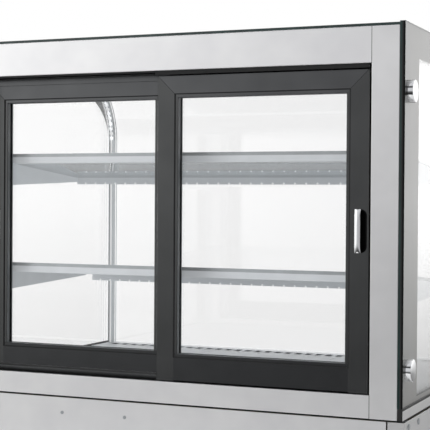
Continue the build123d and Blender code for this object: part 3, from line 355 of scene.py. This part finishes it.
def clear_glass(name, tint):
    """A pane's polished face: it lets the light through and reflects more at a flat angle."""
    material, tree = new_material(name)
    flat = add(tree, "LayerWeight", {0: 0.5}).outputs["Facing"]
    steep = add(tree, "Math", {0: flat, 1: 5.0}, operation="POWER").outputs[0]
    mirrored = remap(tree, steep, 0.04, 1.0, 0.0, 1.0)
    smears = remap(tree, noise(tree, SMEAR_MM, 2.0), 0.0, 0.02)
    gloss = add(tree, "BsdfGlossy", {"Color": linear("#FFFFFF"), "Roughness": smears})
    through = add(tree, "BsdfTransparent", {0: linear(tint)})
    mixed = add(tree, "MixShader", {0: mirrored, 1: through.outputs[0], 2: gloss.outputs[0]})
    add(tree, "OutputMaterial", {0: mixed.outputs[0]})
    return material


# Float glass is clear; the shelves are a little grey and stand out against the white.
glass_face = clear_glass("float glass face", "#FFFFFF")
shelf_face = clear_glass("tinted shelf glass face", "#D6DBDE")
# Cut edges: deep green where light is caught in the pane, and pale grey on the shelves.
glass_edge = plain_solid("float glass cut edge", "#172725", "#243B38", 0.12, (2, 2, 2), 0.01, 0.5,
                         "#4C6661")
shelf_edge = plain_solid("low-iron glass cut edge", "#A3A9AC", "#B4BABD", 0.20, (2, 2, 2), 0.01, 0.5,
                         "#C8CED0")
print("glass made")


# %% [markdown]
# ## Finishes on the CAD parts

# %% Which member of a door frame a face belongs to
# Distances from the outline of a door, in metres.
BEAD_SIDE, BEAD_BOTTOM, STILE_WIDTH, LOW_RAIL = 0.045, 0.055, 0.0514, 0.06


def frame_part(normal, middle, low, high):
    """0 for the top rail, 1 for a stile, 2 for the bead's inner side and 3 for the bottom rail."""
    from_side = min(middle.x - low.x, high.x - middle.x)
    from_top, from_bottom = high.z - middle.z, middle.z - low.z
    inside = from_side > BEAD_SIDE and from_top > BEAD_SIDE and from_bottom > BEAD_BOTTOM
    if inside and abs(normal.y) < 0.5:
        return 2
    if from_side < min(from_top, STILE_WIDTH):
        return 1
    return 3 if from_bottom < LOW_RAIL else 0


# %% Paint the parts
def paint(names, *materials, choose=None):
    """Gives CAD parts these materials; choose picks one of them by a face's normal and middle."""
    for name in names.split():
        mesh = nodes[name].data
        mesh.materials.clear()
        for material in materials:
            mesh.materials.append(material)
        for face in mesh.polygons:
            face.material_index = choose(face.normal, face.center) if choose else 0


# Where one finish gives way to another on the same part.
RAIL_CORNER_X, HOOD_EDGE_X, OUTER_PANE_X, HANDLE_LIP_X = 0.55, 0.5519, 0.558, 0.4645
CUSTOMER_Y, HOOD_REAR_Y, HANDLE_LIP_DEPTH = 0.30, -0.30, 0.0034
HOOD_FOOT_Z, FOOT_PAD_TOP = 0.530, 0.0145

paint("header sill base_front_panel base_rear_panel", steel_x)
paint("post_left post_right", steel_z)
paint("base_side_panel_left base_side_panel_right", steel_y)
paint("glass_rails", steel_x, steel_y, rubber,
      choose=lambda n, c: 0 if abs(c.x) < RAIL_CORNER_X else 2 if n.y < -0.5 else 1)
paint("shelf_uprights deck_plates air_grilles well_liner", steel_matt)
paint("door_tracks", anodised_rail)
for name in ("door_left_frame", "door_right_frame"):
    low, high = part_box(name)
    paint(name, anodised_rail, anodised_stile, bead_plastic, anodised_low_painted_shade,
          choose=lambda n, c: frame_part(n, c, low, high))
# The lip on the inner half of each cup stands out and is chrome; the cup behind it is coloured near black as
# painted shade.
for name in ("door_left_handle", "door_right_handle"):
    lip_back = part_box(name)[0].y + HANDLE_LIP_DEPTH
    paint(name, chrome, painted_shade_black, choose=lambda n, c: int(abs(c.x) > HANDLE_LIP_X or c.y > lip_back))
paint("shelf_frames shelf_lights roof_lamp", grey_paint_painted_light)
paint("base_seal", rubber)
paint("door_left_gasket door_right_gasket", bead_plastic)
# The spacers of the bent glass are white with a painted glow, and so is the side panes' seal near the
# customer.
paint("glass_edge_seals", rubber, spacer_painted_light,
      choose=lambda n, c: int(abs(c.x) < HOOD_EDGE_X or c.y > CUSTOMER_Y))
paint("base_floor base_frame panel_screws condenser_shroud evaporator_fan_plate condensate_tray", zinc)
paint("well_insulation", foam)
paint("compressor", black_paint)
paint("evaporator condenser", fin_metal)
paint("refrigerant_pipes", copper)
paint("door_brush_seal", pile)
paint("control_display", window)
paint("control_bezel control_key_down control_key_up switch_frame switch_rocker power_inlet", black_plastic)
paint("door_left_glides door_right_glides condenser_fan evaporator_fan_left evaporator_fan_right",
      black_plastic)
paint("foot_front_left foot_front_right foot_rear_left foot_rear_right", black_plastic, zinc,
      choose=lambda n, c: int(c.z > FOOT_PAD_TOP))
# The inner pane has a bare green edge, and the outer one an edge enamelled black.
paint("side_glass_left side_glass_right", glass_face, glass_edge, black_enamel,
      choose=lambda n, c: 0 if abs(n.x) > 0.5 else 2 if abs(c.x) > OUTER_PANE_X else 1)
paint("hood_glass", glass_face, glass_edge,
      choose=lambda n, c: int(abs(n.x) > 0.5 or c.y < HOOD_REAR_Y or c.z < HOOD_FOOT_Z))
paint("door_left_glass door_right_glass", glass_face, glass_edge, choose=lambda n, c: int(abs(n.y) < 0.5))
paint("shelf_glasses", shelf_face, shelf_edge, choose=lambda n, c: int(abs(n.z) < 0.5))


def has_finish(slot):
    """Whether a slot holds one of the finishes above."""
    held = slot.material
    return held in (glass_face, shelf_face) or bool(held and held.use_nodes
                                                    and held.node_tree.nodes.get("Bevel"))


print("parts without a finish:", [name for name, part in nodes.items()
                                  if not any(has_finish(slot) for slot in part.material_slots)])

# %% [markdown]
# ## Thin things that the solids leave out

# %% Sizes, in metres, and the boxes of the CAD parts
SIDES = ((-1, "left"), (1, "right"))
side_low, side_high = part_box("side_glass_right")
hood_low, hood_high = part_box("hood_glass")
header_low, header_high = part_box("header")
sill_low, sill_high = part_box("sill")
PANE, INK_LIFT = 0.0040, 0.00004
PRINT_X = side_high.x - PANE + INK_LIFT     # just inside the outer pane
REAR_BAND, FRONT_BAND, BOTTOM_BAND, TOP_BAND, EDGE_MARGIN = 0.130, 0.012, 0.010, 0.067, 0.0003
SIDE_RADIUS, HOOD_RADIUS, BEND_STEPS = 0.2025, 0.200, 24
HOOD_LINES = ((0.0003, 0.0027), (0.0075, 0.019), (0.0215, 0.0245))     # from the edge of the glass inward
HOOD_BEHIND, HOOD_MARGIN = 0.015, 0.001     # the outer pane and the gap; the ends left clear
print("side pane:", [round(v, 4) for v in (*side_low, *side_high)])


# %% The grey print round each side pane
def sheet(name, corners, faces, material, body="root"):
    """A layer without thickness, for ink, fine joints, black sheets of painted shade and polished skins."""
    mesh = bpy.data.meshes.new(name)
    mesh.from_pydata(corners, [], faces)
    mesh.update()
    made = new_object(name, mesh, material)
    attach(made, body)
    return made


def quarter(centre_y, centre_z, reach_y, reach_z):
    """Points (y, z) round the bend from the customer's side to the top."""
    angles = (math.radians(90 * i / BEND_STEPS) for i in range(BEND_STEPS + 1))
    return [(centre_y + reach_y * math.cos(a), centre_z + reach_z * math.sin(a)) for a in angles]


def loop_yz(rear, front, bottom, top):
    """The outline of the side pane, moved in by these distances, with its bent upper front corner."""
    y0, y1 = side_low.y + rear, side_high.y - front
    z0, z1 = side_low.z + bottom, side_high.z - top
    bend = quarter(side_high.y - SIDE_RADIUS, side_high.z - SIDE_RADIUS,
                   SIDE_RADIUS - front, SIDE_RADIUS - top)
    return [(y0, z0), (y1, z0)] + bend + [(y0, z1)]


def side_print(side, word):
    """A closed band of grey print between the pane's outline and the clear part of the pane."""
    outer = loop_yz(EDGE_MARGIN, EDGE_MARGIN, EDGE_MARGIN, EDGE_MARGIN)
    inner = loop_yz(REAR_BAND, FRONT_BAND, BOTTOM_BAND, TOP_BAND)
    n = len(outer)
    corners = [(side * PRINT_X, y, z) for y, z in outer + inner]
    faces = [(i, (i + 1) % n, n + (i + 1) % n, n + i) for i in range(n)]
    sheet("side_print_" + word, corners, faces, enamel)


for side, word in SIDES:
    side_print(side, word)


# %% The grey lines that follow the bent glass at each side
def hood_path(inset):
    """Points (y, z) along the bent glass, this far inside its outer face."""
    radius = HOOD_RADIUS - inset
    bend = quarter(hood_high.y - HOOD_RADIUS, hood_high.z - HOOD_RADIUS, radius, radius)
    foot = (hood_high.y - inset, hood_low.z + HOOD_MARGIN)
    return [foot] + bend + [(hood_low.y + HOOD_MARGIN, hood_high.z - inset)]


def hood_print(side, word):
    """Three printed lines on the inner pane: a thin one, a wide one and a thin one."""
    path = hood_path(HOOD_BEHIND + INK_LIFT)
    corners, faces = [], []
    for outer, inner in HOOD_LINES:
        first = len(corners)
        for y, z in path:
            corners += [(side * (hood_high.x - outer), y, z), (side * (hood_high.x - inner), y, z)]
        faces += [(first + 2 * i, first + 2 * i + 1, first + 2 * i + 3, first + 2 * i + 2)
                  for i in range(len(path) - 1)]
    sheet("hood_print_" + word, corners, faces, frosted_painted_light)


for side, word in SIDES:
    hood_print(side, word)


# %% Turned chrome caps over the bolts in the side glass
# A boss: its radius, how far it stands out, its turned edge, and the steps round it.
BOSS_RADIUS, BOSS_OUT, BOSS_EDGE, TURN_STEPS = 0.024, 0.013, 0.0012, 96
BOSS_LIFT = 0.00002     # clear of the glass
BOSS_PROFILE = ((BOSS_LIFT, BOSS_RADIUS), (BOSS_OUT - BOSS_EDGE, BOSS_RADIUS),
                (BOSS_OUT - BOSS_EDGE * 0.3, BOSS_RADIUS - BOSS_EDGE * 0.3),
                (BOSS_OUT, BOSS_RADIUS - BOSS_EDGE))


def turned(name, profile, centre, axis_sign, material):
    """A cap turned about X from (distance out, radius) points."""
    steps = TURN_STEPS
    corners, faces = [], []
    for out, radius in profile:
        for i in range(steps):
            a = 2 * math.pi * i / steps
            corners.append((centre[0] + axis_sign * out, centre[1] + radius * math.cos(a),
                            centre[2] + radius * math.sin(a)))
    for ring in range(len(profile) - 1):
        for i in range(steps):
            j = (i + 1) % steps
            faces.append((ring * steps + i, ring * steps + j, (ring + 1) * steps + j, (ring + 1) * steps + i))
    faces.append(tuple(range((len(profile) - 1) * steps, len(profile) * steps)))
    faces.append(tuple(reversed(range(steps))))
    mesh = bpy.data.meshes.new(name)
    mesh.from_pydata(corners, [], faces)
    mesh.polygons.foreach_set("use_smooth", [len(f) == 4 for f in faces])
    mesh.update()
    made = new_object(name, mesh, material)
    tidy = bmesh.new()
    tidy.from_mesh(mesh)
    bmesh.ops.recalc_face_normals(tidy, faces=tidy.faces)
    tidy.to_mesh(mesh)
    tidy.free()
    mesh.set_sharp_from_angle(angle=math.radians(25))
    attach(made, "root")
    return made


boss_low, boss_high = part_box("glass_bosses")
caps = []
for side, word in SIDES:
    for storey, z in (("low", boss_low.z + BOSS_RADIUS), ("high", boss_high.z - BOSS_RADIUS)):
        place = (side * side_high.x, boss_low.y + BOSS_RADIUS, z)
        caps.append(turned(f"boss_{storey}_{word}", BOSS_PROFILE, place, side, chrome))
for cap in caps:
    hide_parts("glass_bosses")
print("caps:", len(caps))


# %% Polished crowns on the lips of the door handles
# A crown starts this far from the middle of the cup, is this much wider at its ends, and stops short
# of the rim. It is lifted clear of the lip, and rises in the middle.
CROWN_START, CROWN_WAIST, CROWN_MARGIN = 0.0016, 0.0022, 0.0008
CROWN_LIFT, CROWN_RISE = 0.00005, 0.0021
CROWN_ACROSS, CROWN_ALONG = 14, 40


def crown(word):
    """A shallow bulge on the inner half of a handle, where chrome catches light and dark."""
    low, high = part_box(f"door_{word}_handle")
    side = 1 if high.x > 0 else -1
    middle_x, middle_z = (low.x + high.x) / 2, (low.z + high.z) / 2
    radius, half_length = (high.x - low.x) / 2, (high.z - low.z) / 2
    across, along = CROWN_ACROSS, CROWN_ALONG
    corners, faces = [], []
    for i in range(across + 1):
        u = i / across
        for j in range(along + 1):
            v = 2 * j / along - 1
            start = CROWN_START - CROWN_WAIST * v ** 4
            out = start + (radius - CROWN_MARGIN - start) * u
            rise = CROWN_RISE * (1 - (2 * u - 1) ** 2) * (1 - v ** 8)
            corners.append((middle_x - side * out, low.y - CROWN_LIFT - rise, middle_z + half_length * v))
    for i in range(across):
        for j in range(along):
            a = i * (along + 1) + j
            faces.append((a, a + 1, a + along + 2, a + along + 1))
    made = sheet(f"handle_crown_{word}", corners, faces, chrome, "door_" + word)
    made.data.polygons.foreach_set("use_smooth", [True] * len(faces))


for _, word in SIDES:
    crown(word)
print("handle crowns rise", CROWN_RISE, "m")


# %% Fine dark joints where two steel parts meet, and where the frames are mitred
def strip(name, start, end, width, material, body="root"):
    """A flat line of this width, from start to end (x, z), standing in the plane y."""
    (x0, z0), (x1, z1), y = start[:2], end[:2], start[2]
    along = Vector((x1 - x0, z1 - z0)).normalized()
    aside = Vector((-along.y, along.x)) * width / 2
    corners = [(x0 + aside.x, y, z0 + aside.y), (x1 + aside.x, y, z1 + aside.y),
               (x1 - aside.x, y, z1 - aside.y), (x0 - aside.x, y, z0 - aside.y)]
    sheet(name, corners, [(0, 1, 2, 3)], material, body)


# The widths of the lines, and how far they lie before the faces.
JOINT_W, MITRE_W, GROOVE_W, JOINT_PROUD = 0.0012, 0.0009, 0.0022, 0.00006
# The widths of a door's members, up to the bead.
STILE, TOP_RAIL, BOTTOM_RAIL = 0.043, 0.042, 0.053
face_y = header_low.y - JOINT_PROUD
for side, word in SIDES:
    x = side * header_high.x
    strip("joint_header_" + word, (x, header_low.z, face_y), (x, header_high.z), JOINT_W, rubber)
    strip("joint_sill_" + word, (x, sill_low.z, face_y), (x, sill_high.z), JOINT_W, rubber)
for _, word in SIDES:
    low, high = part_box("door_" + word + "_frame")
    y = low.y - JOINT_PROUD
    body = "door_" + word
    x0, x1, z0, z1 = low.x + STILE, high.x - STILE, low.z + BOTTOM_RAIL, high.z - TOP_RAIL
    for letter, outer, inner in (("a", low.x, x0), ("b", high.x, x1)):
        strip(f"mitre_{word}_{letter}", (outer, high.z, y), (inner, z1), MITRE_W, rubber, body)
    ring = ((x0, z0), (x0, z1), (x1, z1), (x1, z0))
    for i, letter in enumerate("abcd"):
        strip(f"groove_{word}_{letter}", (*ring[i], y), ring[(i + 1) % 4], GROOVE_W, rubber, body)

# %% Painted shade: black sheets in the gaps round the doors
# How far the shade sheets lie behind the steel faces, and the width of the upright ones.
GAP_SHADE_BACK, POST_GAP_SHADE = 0.003, 0.0045
HEADER_GAP_SHADES = (0.0042, 0.0095)      # over the left door and over the right one
gap_shade_y = header_low.y + GAP_SHADE_BACK
meeting_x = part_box("door_right_frame")[0].x
ends = (header_low.x, meeting_x, header_high.x)
for i, (_, word) in enumerate(SIDES):
    z = header_low.z - HEADER_GAP_SHADES[i] / 2
    strip("header_gap_shade_" + word, (ends[i], z, gap_shade_y), (ends[i + 1], z), HEADER_GAP_SHADES[i], rubber)
for side, word in SIDES:
    x = side * (header_high.x - POST_GAP_SHADE / 2)
    strip("post_gap_shade_" + word, (x, sill_high.z, gap_shade_y), (x, header_low.z), POST_GAP_SHADE, painted_shade_black)


# %% Lenses of the shelf lamps, one every 31 mm
# Their pitch and width, their place on the bar behind and below the shelf's edge, and their flatness.
LENS_PITCH, LENS_W, LENS_BACK, LENS_DOWN, LENS_FLAT = 0.031, 0.005, 0.0092, 0.0240, 0.35
SILL_TOP, SHELF_TILT = 0.553, math.radians(5.2)
# The height of each shelf's rear edge over the sill, and its depth.
SHELVES = (("lenses_lower", 0.254, 0.559), ("lenses_upper", 0.5195, 0.469))
bar_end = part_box("shelf_lights")[1].x
bar_rear_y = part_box("shelf_frames")[0].y
# The lenses look at the doors, and show as a row of pale ticks.
lens_glow = plain_solid("clear lamp lens", "#E8ECEE", "#F4F7F8", 0.15, (2, 2, 2), 0.01, 0.3,
                        Emission_Color=linear("#FFFFFF"), Emission_Strength=0.45)


def lens_row(name, rear_top_z, depth):
    """Small domed lenses along the lower rear corner of a shelf's lamp bar; says how many."""
    build = bmesh.new()
    back, down = depth - LENS_BACK, -LENS_DOWN
    y = bar_rear_y + back * math.cos(SHELF_TILT) + down * math.sin(SHELF_TILT)
    z = rear_top_z - back * math.sin(SHELF_TILT) + down * math.cos(SHELF_TILT)
    count = int(2 * (bar_end - LENS_PITCH / 2) / LENS_PITCH) + 1
    for step in range(count):
        x = (step - (count - 1) / 2) * LENS_PITCH
        spot = Matrix.Translation((x, y, z)) @ Matrix.Diagonal((1, LENS_FLAT, 1, 1))
        bmesh.ops.create_uvsphere(build, u_segments=16, v_segments=8, radius=LENS_W / 2, matrix=spot)
    mesh = bpy.data.meshes.new(name)
    build.to_mesh(mesh)
    build.free()
    mesh.polygons.foreach_set("use_smooth", [True] * len(mesh.polygons))
    made = new_object(name, mesh, lens_glow)
    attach(made, "root")
    return count


for name, rise, depth in SHELVES:
    print(name, lens_row(name, SILL_TOP + rise, depth), "lenses")
